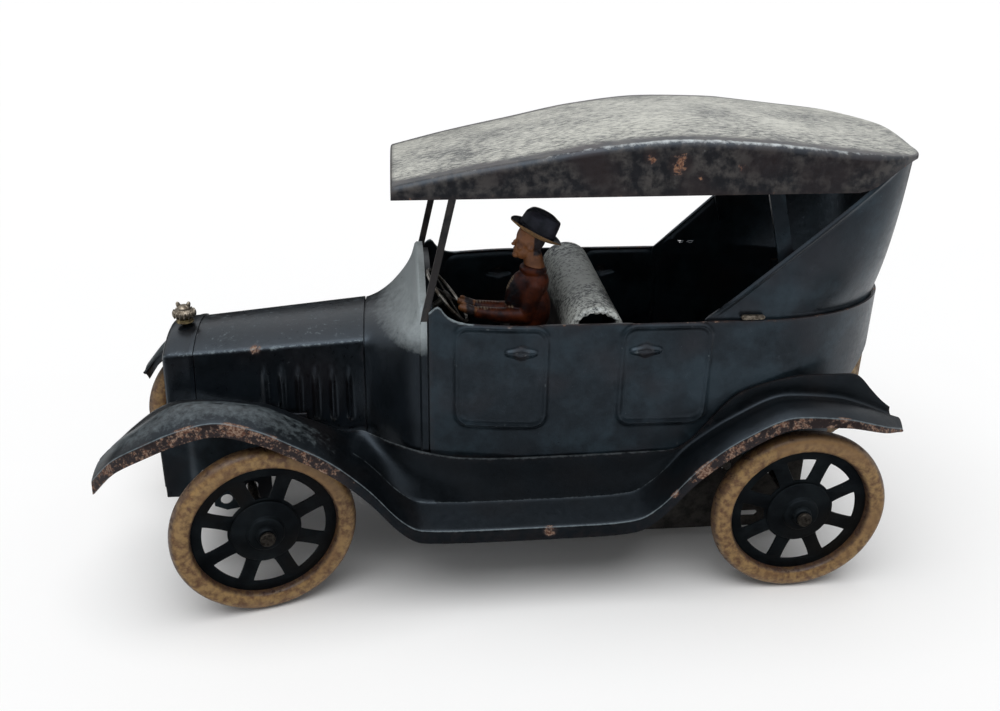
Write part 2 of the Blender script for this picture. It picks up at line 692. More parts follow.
def post_outline(side, half_width, extra):
    """Side view of a windshield post from its foot up to the roof's underside."""
    foot_z = BELT_Z - POST_FOOT_DROP
    foot_x = BODY_FRONT_X + POST_FOOT_AHEAD
    top_z = ROOF_EDGE_Z
    for _ in range(4):
        top_x = foot_x - POST_LEAN * (top_z - foot_z)
        top_z = roof_height(top_x, side * POST_OUT) - SHEET - GAP - 0.0006
    low_x = foot_x + POST_LEAN * extra
    return [(low_x + half_width, foot_z - extra), (low_x - half_width, foot_z - extra),
            (top_x - half_width, top_z), (top_x + half_width, top_z)]


def windshield_posts(paint):
    """Two flat strips that lean back from the cowl to the roof."""
    made = []
    for name, side in (("left_windshield_post", 1), ("right_windshield_post", -1)):
        start = side * POST_OUT - (POST_THICKNESS if side > 0 else 0.0)
        made.append(extruded(name, post_outline(side, POST_WIDTH / 2, 0.0), [], start, POST_THICKNESS, "Y", paint))
    return made


def bow_struts(paint):
    """Flat strips between the roof and the inside of the quarter panel."""
    made = []
    foot_z = BELT_Z + 0.0060
    for name, side in (("left_bow_strut", 1), ("right_bow_strut", -1)):
        out = BODY_HALF_WIDTH - SHEET - 2 * GAP - SHEET
        foot_x = BODY_ROUND_X - 0.0050
        top_z = ROOF_EDGE_Z
        for _ in range(4):
            top_x = foot_x + STRUT_LEAN * (top_z - foot_z)
            top_z = roof_height(top_x, side * out) - SHEET - GAP - 0.0004
        outline = [(foot_x + STRUT_WIDTH / 2, foot_z), (foot_x - STRUT_WIDTH / 2, foot_z),
                   (top_x - STRUT_WIDTH / 2, top_z), (top_x + STRUT_WIDTH / 2, top_z)]
        start = side * out - (POST_THICKNESS if side > 0 else 0.0)
        made.append(extruded(name, outline, [], start, POST_THICKNESS, "Y", paint))
    return made


def arch_point(axle_x, degrees, clearance):
    """A point of a fender's outer crease, at an angle round the axle and a clearance from the tyre."""
    angle = math.radians(degrees)
    radius = WHEEL_RADIUS + clearance
    return (axle_x + radius * math.cos(angle), AXLE_Z + radius * math.sin(angle))


def fender_crease():
    """Outer crease from the front tip over both wheels, as (x, z)."""
    board = AXLE_Z + BOARD_HEIGHT
    front = FRONT_FENDER_CLEARANCE
    rear = REAR_FENDER_CLEARANCE
    points = [
        arch_point(FRONT_AXLE_X, 27, front + 0.0014),
        arch_point(FRONT_AXLE_X, 42, front + 0.0005),
        arch_point(FRONT_AXLE_X, 56, front - 0.0007),
        arch_point(FRONT_AXLE_X, 75, front - 0.0008),
        arch_point(FRONT_AXLE_X, 91, front),
        arch_point(FRONT_AXLE_X, 107, front - 0.0006),
        arch_point(FRONT_AXLE_X, 127, front - 0.0006),
        arch_point(FRONT_AXLE_X, 143, front + 0.0012),
        arch_point(FRONT_AXLE_X, 162, front + 0.0047),
        (FRONT_AXLE_X - 0.0345, board + 0.0026),
        (FRONT_AXLE_X - 0.0385, board + 0.0001),
        (0.0080, board - 0.0003),
        (-0.0180, board - 0.0001),
        (REAR_AXLE_X + 0.0345, board + 0.0006),
        (REAR_AXLE_X + 0.0305, board + 0.0032),
        arch_point(REAR_AXLE_X, 28, rear + 0.0024),
        arch_point(REAR_AXLE_X, 52, rear + 0.0002),
        arch_point(REAR_AXLE_X, 80, rear),
        arch_point(REAR_AXLE_X, 104, rear - 0.0004),
        arch_point(REAR_AXLE_X, 122, rear + 0.0006),
        arch_point(REAR_AXLE_X, 138, rear + 0.0031),
    ]
    return points


def fender_rows(sag=0.0):
    """Cross-sections of a pressing from its front tip to its tail; sag lowers the top of its front arch."""
    crease = []
    for x, z in fender_crease():
        near = max(1 - abs(x - FRONT_AXLE_X + 0.0030) / 0.0240, 0.0)
        crease.append((x, z - sag * smooth_step(near)))
    front_x, tail_x = crease[0][0], crease[-1][0]
    outer = [
        (front_x, FENDER_OUT - 0.0030), (front_x - 0.0065, FENDER_OUT - 0.0008), (front_x - 0.0140, FENDER_OUT),
        (FRONT_AXLE_X - 0.0270, FENDER_OUT + 0.0003), (FRONT_AXLE_X - 0.0385, BOARD_OUT),
        (tail_x + 0.0140, BOARD_OUT), (tail_x + 0.0060, BOARD_OUT - 0.0003), (tail_x, BOARD_OUT - 0.0022),
    ]
    inner = [
        (front_x, FENDER_OUT - 0.0075), (front_x - 0.0045, HOOD_BASE_FRONT + 0.0070),
        (front_x - 0.0110, HOOD_BASE_FRONT + 0.0034), (FRONT_AXLE_X, HOOD_BASE_FRONT + 0.0020),
        (HOOD_REAR_X + 0.0020, HOOD_BASE_REAR + 0.0009), (HOOD_REAR_X - 0.0040, HOOD_BASE_REAR + 0.0042),
        (BODY_FRONT_X + 0.0010, BODY_NOSE_HALF_WIDTH + 0.0010), (BODY_FRONT_X - 0.0160, APRON_OUT),
        (tail_x, APRON_OUT),
    ]
    apron_top = [
        (front_x, -0.0022), (FRONT_AXLE_X, -0.0022), (FRONT_AXLE_X - 0.0220, -0.0005),
    ]
    apron_level = BODY_BASE_Z + APRON_HEIGHT
    arch_level = AXLE_Z + WHEEL_RADIUS
    top_line = [
        (HOOD_REAR_X + 0.0010, BODY_BASE_Z + 0.0046), (BODY_FRONT_X + 0.0020, BODY_BASE_Z + 0.0018),
        (BODY_FRONT_X - 0.0060, apron_level), (REAR_AXLE_X + 0.0270, apron_level + 0.0006),
        (REAR_AXLE_X + 0.0130, arch_level + 0.0070), (REAR_AXLE_X, arch_level + 0.0102),
        (REAR_AXLE_X - 0.0100, arch_level + 0.0102), (tail_x + 0.0054, arch_level + 0.0067),
        (tail_x + 0.0012, arch_level + 0.0032), (tail_x, arch_level + 0.0024),
    ]
    stations = sorted({p[0] for p in crease}, reverse=True)
    full = []
    for a, b in zip(stations, stations[1:]):
        full.append(a)
        if a - b > 0.0042:
            full.append((a + b) / 2)
    full.append(stations[-1])
    lip = [(tail_x, 0.4 * FENDER_LIP), (tail_x + 0.0120, 0.6 * FENDER_LIP), (tail_x + 0.0300, FENDER_LIP)]
    rows = []
    for x in full:
        crease_z = curve_value(crease, x)
        outer_y = curve_value(outer, x)
        inner_y = curve_value(inner, x)
        ahead = smooth_step((x - HOOD_REAR_X - 0.0010) / 0.0060)
        behind = smooth_step((REAR_AXLE_X + 0.0300 - x) / 0.0120)
        beside = 1 - max(ahead, behind)
        inner_z = lerp(curve_value(top_line, x), crease_z + curve_value(apron_top, x), ahead)
        ridge_y = lerp(lerp(APRON_OUT + 0.0016, APRON_OUT + 0.0006, behind), outer_y - 0.0090, ahead)
        ridge_z = crease_z + lerp(lerp(RIDGE_HEIGHT, 0.0011, behind), FENDER_CROWN, ahead)
        ridge_z = min(ridge_z, inner_z - 0.0006) if ahead < 0.5 else ridge_z
        bulge = lerp(0.0, 0.0009, max(ahead, behind))
        mid_out = 0.0009 * ahead
        lean = lerp(inner_y, ridge_y, lerp(0.15, 0.5, ahead))
        pull = TAIL_PULL * smooth_step((tail_x + 0.0120 - x) / 0.0120)
        section = [
            (x + pull, inner_y, inner_z),
            (x + pull, lean, lerp(inner_z, ridge_z, 0.5) + mid_out),
            (x + 0.8 * pull, ridge_y, ridge_z),
            (x, lerp(ridge_y, outer_y, 0.36), lerp(ridge_z, crease_z, 0.36) + bulge - 0.0004 * beside),
            (x, lerp(ridge_y, outer_y, 0.72), lerp(ridge_z, crease_z, 0.72) + 0.8 * bulge - 0.0003 * beside),
            (x, outer_y, crease_z),
            (x, outer_y + 0.0004, crease_z - curve_value(lip, x)),
        ]
        rows.append(section)
    return rows


def fenders(paint):
    left = sheet("left_fender_board", fender_rows(), paint)
    right = sheet("right_fender_board", mirrored(fender_rows(RIGHT_FENDER_SAG)), paint)
    return left, right


def chassis_pan(paint):
    """Flat floor with a turned-down nose flange and a shallow pressed tray under the cabin."""
    wide = BODY_HALF_WIDTH - GAP
    nose = PAN_NOSE_HALF_WIDTH
    nose_x = FRONT_AXLE_X + PAN_NOSE_AHEAD
    outline = [(nose_x, nose), (HOOD_REAR_X + 0.0010, nose), (BODY_FRONT_X, BODY_NOSE_HALF_WIDTH - GAP),
               (BODY_FRONT_X - 0.0180, wide)]
    for angle in np.linspace(math.pi / 2, 0.0, 9):
        x = BODY_ROUND_X - (BODY_ROUND_LENGTH - 0.0020) * math.cos(angle)
        outline.append((x, wide * math.sin(angle)))
    outline += [(x, -y) for x, y in reversed(outline[:-1])]
    rivet = circle((FRONT_AXLE_X, 0.0), RIVET_RADIUS + GAP, 12)
    pan = extruded("chassis_pan", outline, [rivet], PAN_BOTTOM, SHEET, "Z", paint)
    tray_outline = rounded_box((PAN_TRAY_REAR, -PAN_TRAY_HALF_WIDTH), (PAN_TRAY_FRONT, PAN_TRAY_HALF_WIDTH), 0.003)
    tray = extruded("tray_form", tray_outline, [], PAN_BOTTOM - PAN_TRAY_DEPTH, PAN_TRAY_DEPTH + SHEET / 2, "Z", paint)
    inner = rounded_box((PAN_TRAY_REAR + SHEET, -PAN_TRAY_HALF_WIDTH + SHEET),
                        (PAN_TRAY_FRONT - SHEET, PAN_TRAY_HALF_WIDTH - SHEET), 0.0025)
    pocket = extruded("pocket_form", inner, [], PAN_BOTTOM - PAN_TRAY_DEPTH + SHEET, 0.003, "Z", paint)
    flange_outline = [(-nose, PAN_BOTTOM + SHEET / 2), (-nose, PAN_BOTTOM - PAN_FLANGE + 0.0030),
                      (-nose + 0.0030, PAN_BOTTOM - PAN_FLANGE), (nose - 0.0030, PAN_BOTTOM - PAN_FLANGE),
                      (nose, PAN_BOTTOM - PAN_FLANGE + 0.0030), (nose, PAN_BOTTOM + SHEET / 2)]
    flange = extruded("nose_form", flange_outline, [], nose_x - SHEET, SHEET, "X", paint)
    combine(pan, tray, "UNION")
    combine(pan, flange, "UNION")
    combine(pan, pocket, "DIFFERENCE")
    return pan


def tyre(name, side, paint):
    """Rolled rim, painted as a tyre, round its disc."""
    half = TYRE_WIDTH / 2
    bore = WHEEL_RADIUS - TYRE_DEPTH
    shape = [(bore, -0.74), (bore, 0.74), (bore + 0.38 * TYRE_DEPTH, 1.0), (bore + 0.76 * TYRE_DEPTH, 0.82),
             (WHEEL_RADIUS, 0.28), (WHEEL_RADIUS, -0.28), (bore + 0.76 * TYRE_DEPTH, -0.82),
             (bore + 0.38 * TYRE_DEPTH, -1.0)]
    profile = [(r, side * TRACK_HALF + half * y) for r, y in shape]
    return turned(name, profile, "Y", paint, WHEEL_SEGMENTS)


def spoked_disc(name, side, phase, paint):
    """Flat pressed disc: hub, eight spokes and rim."""
    bore = AXLE_RADIUS + GAP
    rim = WHEEL_RADIUS - TYRE_DEPTH - GAP
    inner = HUB_RADIUS + 0.0002
    outer = inner + OPENING_DEPTH
    sector = 2 * math.pi / SPOKES
    radii = [bore, inner, outer, rim]
    y = side * DISC_OUT
    bm = bmesh.new()
    grid = []
    for k in range(SPOKES):
        middle = phase + sector * k
        for step in range(4):
            column = []
            for radius in radii:
                spoke = math.asin(min(SPOKE_WIDTH / 2 / max(radius, inner), 0.99))
                reach = sector / 2 - spoke
                angle = middle + (step / 1.5 - 1) * reach
                column.append(bm.verts.new((radius * math.cos(angle), y, radius * math.sin(angle))))
            grid.append(column)
    for i, column in enumerate(grid):
        following = grid[(i + 1) % len(grid)]
        for band in range(3):
            if band == 1 and i % 4 != 3:
                continue
            bm.faces.new((column[band], following[band], following[band + 1], column[band + 1]))
    grown = bmesh.ops.extrude_face_region(bm, geom=bm.faces[:])
    moved = [g for g in grown["geom"] if isinstance(g, bmesh.types.BMVert)]
    bmesh.ops.translate(bm, vec=(0, -side * SHEET, 0), verts=moved)
    return finish_mesh(name, bm, paint)


def hub_cap(name, side, paint):
    """Raised hub disc with a stepped boss."""
    bore = AXLE_RADIUS + GAP
    start = DISC_OUT + GAP
    shape = [(bore, 0.0), (HUB_RADIUS, 0.0), (HUB_RADIUS, 0.14), (0.92 * HUB_RADIUS, 0.28),
             (0.48 * HUB_RADIUS, 0.52), (0.40 * HUB_RADIUS, 0.56), (bore + HUB_BORE_WALL, 1.0), (bore, 1.0)]
    profile = [(r, side * (start + HUB_RISE * h)) for r, h in shape]
    return turned(name, profile, "Y", paint, 18)


def axle(name, paint):
    """Axle wire with a peened head outside each hub cap."""
    inside = DISC_OUT + GAP + HUB_RISE + GAP
    outside = inside + AXLE_HEAD_LENGTH
    profile = [
        (0.0, -outside), (AXLE_HEAD_RADIUS, -outside), (AXLE_HEAD_RADIUS, -inside), (AXLE_RADIUS, -inside),
        (AXLE_RADIUS, inside), (AXLE_HEAD_RADIUS, inside), (AXLE_HEAD_RADIUS, outside), (0.0, outside),
    ]
    return turned(name, profile, "Y", paint, 12)


def wheel(prefix, side, paints, phase=0.0):
    pieces = [
        tyre(prefix + "_tyre", side, paints["tyre"]),
        spoked_disc(prefix + "_disc", side, phase, paints["wheel"]),
        hub_cap(prefix + "_hub_cap", side, paints["wheel"]),
    ]
    return pieces


def front_axle_group(paints):
    """Steered bracket, its rivet, the front axle and both front wheels."""
    steer = pivot("steering_axis", (FRONT_AXLE_X, 0, AXLE_Z), STEER_AT_REST)
    top = PAN_BOTTOM - GAP - AXLE_Z
    half = BRACKET_HALF_WIDTH
    length = BRACKET_HALF_LENGTH
    drop = BRACKET_EAR_DROP
    bridge_outline = rounded_box((-0.6 * length, -half), (0.6 * length, half), 0.0010, 2)
    rivet_hole = circle((0, 0), RIVET_RADIUS + GAP, 12)
    bracket = extruded("front_axle_bracket", bridge_outline, [rivet_hole], top - SHEET, SHEET, "Z", paints["black"])
    ear_outline = [(-0.6 * length, top - SHEET / 2), (-0.6 * length, -0.3 * drop), (-0.4 * length, -drop),
                   (0.8 * length, -drop), (1.15 * length, -0.7 * drop), (1.15 * length, 0.2 * drop),
                   (0.6 * length, top - SHEET / 2)]
    holes = [circle((0, 0), AXLE_RADIUS + GAP, 12), circle((0.0055, -0.0022), EAR_HOLE_RADIUS, 12)]
    left_ear = extruded("left_ear_form", ear_outline, holes, half - SHEET, SHEET, "Y", paints["black"])
    right_ear = extruded("right_ear_form", ear_outline, holes, -half, SHEET, "Y", paints["black"])
    combine(bracket, left_ear, "UNION")
    combine(bracket, right_ear, "UNION")
    above = PAN_TOP - AXLE_Z + GAP
    below = top - SHEET - GAP
    rivet = turned("steering_rivet", [
        (0.0, below - RIVET_HEAD_HEIGHT), (RIVET_HEAD_RADIUS, below - RIVET_HEAD_HEIGHT),
        (RIVET_HEAD_RADIUS, below), (RIVET_RADIUS, below), (RIVET_RADIUS, above),
        (RIVET_HEAD_RADIUS, above), (RIVET_HEAD_RADIUS, above + RIVET_HEAD_HEIGHT),
        (0.0, above + RIVET_HEAD_HEIGHT),
    ], "Z", paints["steel"], 12)
    carry(steer, bracket, left_ear, right_ear, rivet, axle("front_axle", paints["steel"]))
    carry(steer, *wheel("front_left", 1, paints), *wheel("front_right", -1, paints))


def gear_outline(teeth, facing, tooth_towards=True):
    """Outline of a spur gear about the origin, with a tooth (or a gap) centred on the facing angle."""
    radius = GEAR_MODULE * teeth / 2
    root = radius - 1.15 * GEAR_MODULE
    tip = radius + 0.85 * GEAR_MODULE
    pitch = 2 * math.pi / teeth
    start = facing if tooth_towards else facing + pitch / 2
    points = []
    for i in range(teeth):
        middle = start + pitch * i
        for share, reach in ((-0.31, root), (-0.11, tip), (0.11, tip), (0.31, root)):
            angle = middle + share * pitch
            points.append((reach * math.cos(angle), reach * math.sin(angle)))
    return points


def train_layout():
    """Place of the intermediate arbor, above the line from the rear axle to the winding arbor."""
    first = GEAR_MODULE * (PINION_TEETH + WHEEL_TEETH) / 2
    second = GEAR_MODULE * (PINION_TEETH + GREAT_TEETH) / 2
    along = Vector((ARBOR_X - REAR_AXLE_X, ARBOR_Z - AXLE_Z))
    span = along.length
    part = (first ** 2 - second ** 2 + span ** 2) / (2 * span)
    height = math.sqrt(max(first ** 2 - part ** 2, 0.0))
    unit = along.normalized()
    up = Vector((-unit.y, unit.x))
    spot = Vector((REAR_AXLE_X, AXLE_Z)) + unit * part + up * height
    return spot.x, spot.y


def motor_plates(paint, mid_x, mid_z):
    """Two side plates of the clockwork frame, with bearing holes and a slot above the lower edge."""
    front = ARBOR_X + MOTOR_FRONT_REACH
    rear = REAR_AXLE_X - MOTOR_REAR_REACH
    low = MOTOR_LOW_Z
    outline = [(rear, low + 0.0030), (rear + 0.0030, low), (front - 0.0020, low), (front, low + 0.0020),
               (front, MOTOR_TOP), (rear, MOTOR_TOP)]
    holes = [
        circle((REAR_AXLE_X, AXLE_Z), AXLE_RADIUS + GAP, 12),
        circle((mid_x, mid_z), AXLE_RADIUS + GAP, 12),
        circle((ARBOR_X, ARBOR_Z), ARBOR_RADIUS + GAP, 12),
        rounded_box((REAR_AXLE_X + 0.0020, low + 0.0025), (REAR_AXLE_X + 0.0100, low + 0.0040), 0.0005, 1),
    ]
    for x, z in pillar_places():
        holes.append(circle((x, z), 0.7 * PILLAR_RADIUS + GAP, 8))
    left = extruded("motor_left_plate", outline, holes, MOTOR_INNER, MOTOR_PLATE, "Y", paint)
    right = extruded("motor_right_plate", outline, holes, -MOTOR_HALF_WIDTH, MOTOR_PLATE, "Y", paint)
    return left, right


def pillar_places():
    rear = REAR_AXLE_X - MOTOR_REAR_REACH
    return [
        (ARBOR_X + 0.0090, ARBOR_Z + 0.0092), (ARBOR_X + 0.0094, ARBOR_Z - 0.0084),
        (rear + 0.0022, MOTOR_TOP - 0.0025),
    ]


def pillars(paint):
    """Three stepped pillars, riveted through both side plates."""
    shoulder = MOTOR_INNER - GAP
    end = MOTOR_HALF_WIDTH + GAP
    head = end + 0.0005
    profile = [
        (0.0, -head), (PILLAR_RADIUS, -head), (PILLAR_RADIUS, -end), (0.7 * PILLAR_RADIUS, -end),
        (0.7 * PILLAR_RADIUS, -shoulder), (PILLAR_RADIUS, -shoulder), (PILLAR_RADIUS, shoulder),
        (0.7 * PILLAR_RADIUS, shoulder), (0.7 * PILLAR_RADIUS, end), (PILLAR_RADIUS, end),
        (PILLAR_RADIUS, head), (0.0, head),
    ]
    names = ("front_upper_pillar", "front_lower_pillar", "rear_pillar")
    made = []
    for name, (x, z) in zip(names, pillar_places()):
        pillar = turned(name, profile, "Y", paint, 8)
        pillar.location = (x, 0, z)
        made.append(pillar)
    return made


def mainspring(paint):
    """Flat spring wound from the arbor out to a hook at the upper front pillar."""
    inner = ARBOR_RADIUS + SPRING_INNER_GAP + SPRING_THICKNESS / 2
    pillar = pillar_places()[0]
    hook = math.atan2(pillar[1] - ARBOR_Z, pillar[0] - ARBOR_X)
    distance = math.hypot(pillar[0] - ARBOR_X, pillar[1] - ARBOR_Z)
    end_radius = distance - PILLAR_RADIUS - GAP - SPRING_THICKNESS / 2
    per_turn = 16
    count = SPRING_TURNS * per_turn
    points = []
    for i in range(count + 1):
        turn = i / per_turn
        radius = lerp(inner, SPRING_OUTER_RADIUS, i / count)
        angle = hook - math.pi / 2 - 2 * math.pi * (SPRING_TURNS - turn)
        points.append((radius * math.cos(angle), radius * math.sin(angle)))
    for i in range(1, 6):
        t = i / 5
        radius = lerp(SPRING_OUTER_RADIUS, end_radius, smooth_step(t))
        angle = hook - (1 - t) * math.pi / 2
        points.append((radius * math.cos(angle), radius * math.sin(angle)))
    centre = 0.0080
    rows = []
    for y in (centre + SPRING_WIDTH / 2 - SPRING_WIDTH, centre + SPRING_WIDTH / 2):
        rows.append([(ARBOR_X + a, y, ARBOR_Z + b) for a, b in points])
    return sheet("mainspring", rows, paint, thickness=SPRING_THICKNESS, offset=0.0)


def motor(paints):
    mid_x, mid_z = train_layout()
    motor_plates(paints["steel"], mid_x, mid_z)
    pillars(paints["brass"])
    mainspring(paints["steel"])
    to_mid = math.atan2(mid_z - AXLE_Z, mid_x - REAR_AXLE_X)
    to_arbor = math.atan2(ARBOR_Z - mid_z, ARBOR_X - mid_x)
    wheel_y = -0.0050
    great_y = 0.0014

    rear = pivot("rear_axle_line", (REAR_AXLE_X, 0, AXLE_Z))
    pinion = extruded("axle_pinion", gear_outline(PINION_TEETH, to_mid), [circle((0, 0), AXLE_RADIUS + GAP, 12)],
                      wheel_y - 0.5 * (PINION_LENGTH - GEAR_THICKNESS), PINION_LENGTH, "Y", paints["brass"])
    carry(rear, pinion, axle("rear_axle", paints["steel"]))
    carry(rear, *wheel("rear_left", 1, paints, REAR_SPOKE_PHASE), *wheel("rear_right", -1, paints))

    middle = pivot("intermediate_line", (mid_x, 0, mid_z))
    reach = MOTOR_HALF_WIDTH + 0.0006
    arbor = turned("intermediate_arbor", [(0.0, -reach), (AXLE_RADIUS, -reach), (AXLE_RADIUS, reach), (0.0, reach)],
                   "Y", paints["steel"], 12)
    bore = circle((0, 0), AXLE_RADIUS + GAP, 12)
    driven = extruded("intermediate_wheel", gear_outline(WHEEL_TEETH, to_mid + math.pi, False), [bore],
                      wheel_y, GEAR_THICKNESS, "Y", paints["brass"])
    driver = extruded("intermediate_pinion", gear_outline(PINION_TEETH, to_arbor), [bore],
                      great_y - 0.5 * (PINION_LENGTH - GEAR_THICKNESS), PINION_LENGTH, "Y", paints["brass"])
    carry(middle, arbor, driven, driver)

    winding = pivot("winding_line", (ARBOR_X, 0, ARBOR_Z))
    click_place = (0.0055, 0.0063)
    pin = 0.0006
    great = extruded("great_wheel", gear_outline(GREAT_TEETH, to_arbor + math.pi, False),
                     [circle((0, 0), ARBOR_RADIUS + GAP, 12), circle(click_place, pin + GAP, 8)],
                     great_y, GEAR_THICKNESS, "Y", paints["brass"])
    click_y = great_y + GEAR_THICKNESS + GAP
    outline = [(0.0043, 0.00035), (0.0054, 0.00035), (0.0064, 0.0050), (0.0067, 0.0064), (0.0060, 0.0074),
               (0.0048, 0.0072), (0.0044, 0.0060), (0.0046, 0.0022)]
    click = extruded("click", outline, [circle(click_place, pin + GAP, 8)], click_y, CLICK_THICKNESS, "Y",
                     paints["steel"])
    low = great_y - GAP
    high = click_y + CLICK_THICKNESS + GAP
    head = pin + 2 * GAP
    rivet = turned("click_rivet", [(0.0, low - 0.0005), (head, low - 0.0005), (head, low), (pin, low), (pin, high),
                                   (head, high), (head, high + 0.0005), (0.0, high + 0.0005)], "Y",
                   paints["steel"], 8)
    rivet.location = (click_place[0], 0, click_place[1])
    ratchet = []
    for i in range(RATCHET_TEETH):
        angle = 2 * math.pi * i / RATCHET_TEETH
        for radius, turn in ((RATCHET_RADIUS, 0.0), (RATCHET_RADIUS - RATCHET_DEPTH, 0.001)):
            ratchet.append((radius * math.cos(angle + turn), radius * math.sin(angle + turn)))
    toothed = extruded("ratchet_wheel", ratchet, [circle((0, 0), ARBOR_RADIUS + GAP, 12)], click_y,
                       CLICK_THICKNESS, "Y", paints["steel"])
    inner_end = MOTOR_HALF_WIDTH + 0.0008
    outer_end = MOTOR_HALF_WIDTH + 0.0040
    shaft = turned("winding_arbor", [(0.0, -outer_end), (ARBOR_RADIUS, -outer_end), (ARBOR_RADIUS, inner_end),
                                     (0.0, inner_end)], "Y", paints["steel"], 12)
    carry(winding, great, click, rivet, toothed, shaft, winding_key(outer_end + GAP, paints["brass"]))
    stop_lever(paints)


def winding_key(start, paint):
    """Butterfly key on the end of the winding arbor, with its flat wings in the plane of the axis."""
    span = KEY_SPAN
    end = KEY_REACH - 0.0040
    shape = [(0.0012, 0.0), (0.0016, 0.22 * end), (0.55 * span, 0.10 * end), (span, 0.36 * end),
             (span, 0.78 * end), (0.6 * span, end), (0.0016, 0.74 * end)]
    outline = [(a, -start - b) for a, b in shape]
    outline += [(-a, -start - b) for a, b in reversed(shape)]
    return extruded("winding_key", outline, [], -KEY_THICKNESS / 2, KEY_THICKNESS, "Z", paint)


def stop_lever(paints):
    """Lever on the right plate: its upper end stands against the rim of the intermediate wheel's plate."""
    low_x = ARBOR_X - 0.0080
    low_z = MOTOR_LOW_Z + 0.0030
    start = -MOTOR_HALF_WIDTH - GAP - MOTOR_PLATE
    centre = pivot("stop_lever_line", (low_x, 0, low_z))
    outline = [(-0.0011, -0.0009), (0.0011, -0.0011), (0.0078, -0.0020), (0.0084, -0.0004), (0.0012, 0.0012),
               (-0.0006, 0.0060), (-0.0022, 0.0062), (-0.0016, 0.0010)]
    hole = circle((0, 0), 0.0009, 8)
    lever = extruded("stop_lever", outline, [hole], start, MOTOR_PLATE, "Y", paints["steel"])
    grip = extruded("lever_grip_form", [(0.0064, -0.0018), (0.0078, -0.0020), (0.0084, -0.0004), (0.0070, 0.0)], [],
                    start - 0.0045, 0.0050, "Y", paints["steel"])
    combine(lever, grip, "UNION")
    pin = 0.0006
    rivet = turned("lever_rivet", [(0.0, start - GAP - 0.0005), (0.0013, start - GAP - 0.0005), (0.0013, start - GAP),
                                   (pin, start - GAP), (pin, -MOTOR_HALF_WIDTH - GAP), (0.0, -MOTOR_HALF_WIDTH - GAP)],
                   "Y", paints["steel"], 8)
    rivet.location = (low_x, 0, low_z)
    carry(centre, lever, grip)


def seat(name, back_x, depth, height, half_width, roll, drop, paint):
    """One bent sheet: skirt, cushion, backrest and the roll over its top."""
    front_x = back_x + depth
    floor = PAN_TOP + GAP
    level = PAN_TOP + height
    top = BELT_Z + 0.0022 - roll - drop
    points = [(front_x, floor), (front_x, level - 0.0020), (front_x - 0.0015, level), (back_x + roll + 0.0010, level),
              (back_x + roll, level + 0.0015)]
    for i in range(9):
        angle = math.pi * i / 8
        points.append((back_x + roll * math.cos(angle), top + roll * math.sin(angle)))
    points.append((back_x - roll, top - 0.0050))
    rows = [[(x, y, z) for x, z in points] for y in (half_width, half_width * 0.33, -half_width * 0.33, -half_width)]
    return sheet(name, rows, paint)


def seats(paint):
    seat("front_seat", SEAT_BACK_X, SEAT_DEPTH, SEAT_HEIGHT, SEAT_HALF_WIDTH, SEAT_ROLL_RADIUS, 0.0, paint)
    seat("rear_seat", REAR_SEAT_BACK_X, REAR_SEAT_DEPTH, SEAT_HEIGHT - 0.0040, SEAT_HALF_WIDTH - 0.0050,
         SEAT_ROLL_RADIUS - 0.0012, REAR_SEAT_DROP, paint)


def steering(paints):
    """Raked column through the dashboard and a thin wire wheel on its end."""
    centre = Vector((BODY_FRONT_X - 0.0042, DRIVER_SIDE, BELT_Z + 0.0011))
    rake = Vector((math.cos(COLUMN_LEAN), 0, -math.sin(COLUMN_LEAN)))
    top = centre + rake * (STEERING_WIRE + GAP)
    reach = (dashboard_x() - SHEET - GAP - centre.x) / math.cos(COLUMN_LEAN)
    foot = centre + rake * (reach - COLUMN_RADIUS * math.tan(COLUMN_LEAN))
    tube("steering_column", [tuple(foot), tuple(top)], COLUMN_RADIUS, paints["steel"])
    across = Vector((0, 1, 0))
    along = rake.cross(across)
    ring = []
    for i in range(28):
        angle = 2 * math.pi * i / 28
        ring.append(centre + (across * math.cos(angle) + along * math.sin(angle)) * STEERING_WHEEL_RADIUS)
    wheel_ring = tube("steering_wheel", [tuple(p) for p in ring], STEERING_WIRE, paints["steel"], 1, True)
    return wheel_ring


def blob(name, centre, size, paint, turn=0.0, segments=14, rings=8):
    """An ellipsoid that becomes part of a larger form."""
    bm = bmesh.new()
    bmesh.ops.create_uvsphere(bm, u_segments=segments, v_segments=rings, radius=1.0)
    bmesh.ops.scale(bm, vec=size, verts=bm.verts[:])
    bmesh.ops.rotate(bm, cent=(0, 0, 0), matrix=Matrix.Rotation(turn, 3, "Y"), verts=bm.verts[:])
    bmesh.ops.translate(bm, vec=centre, verts=bm.verts[:])
    return finish_mesh(name, bm, paint, 60)


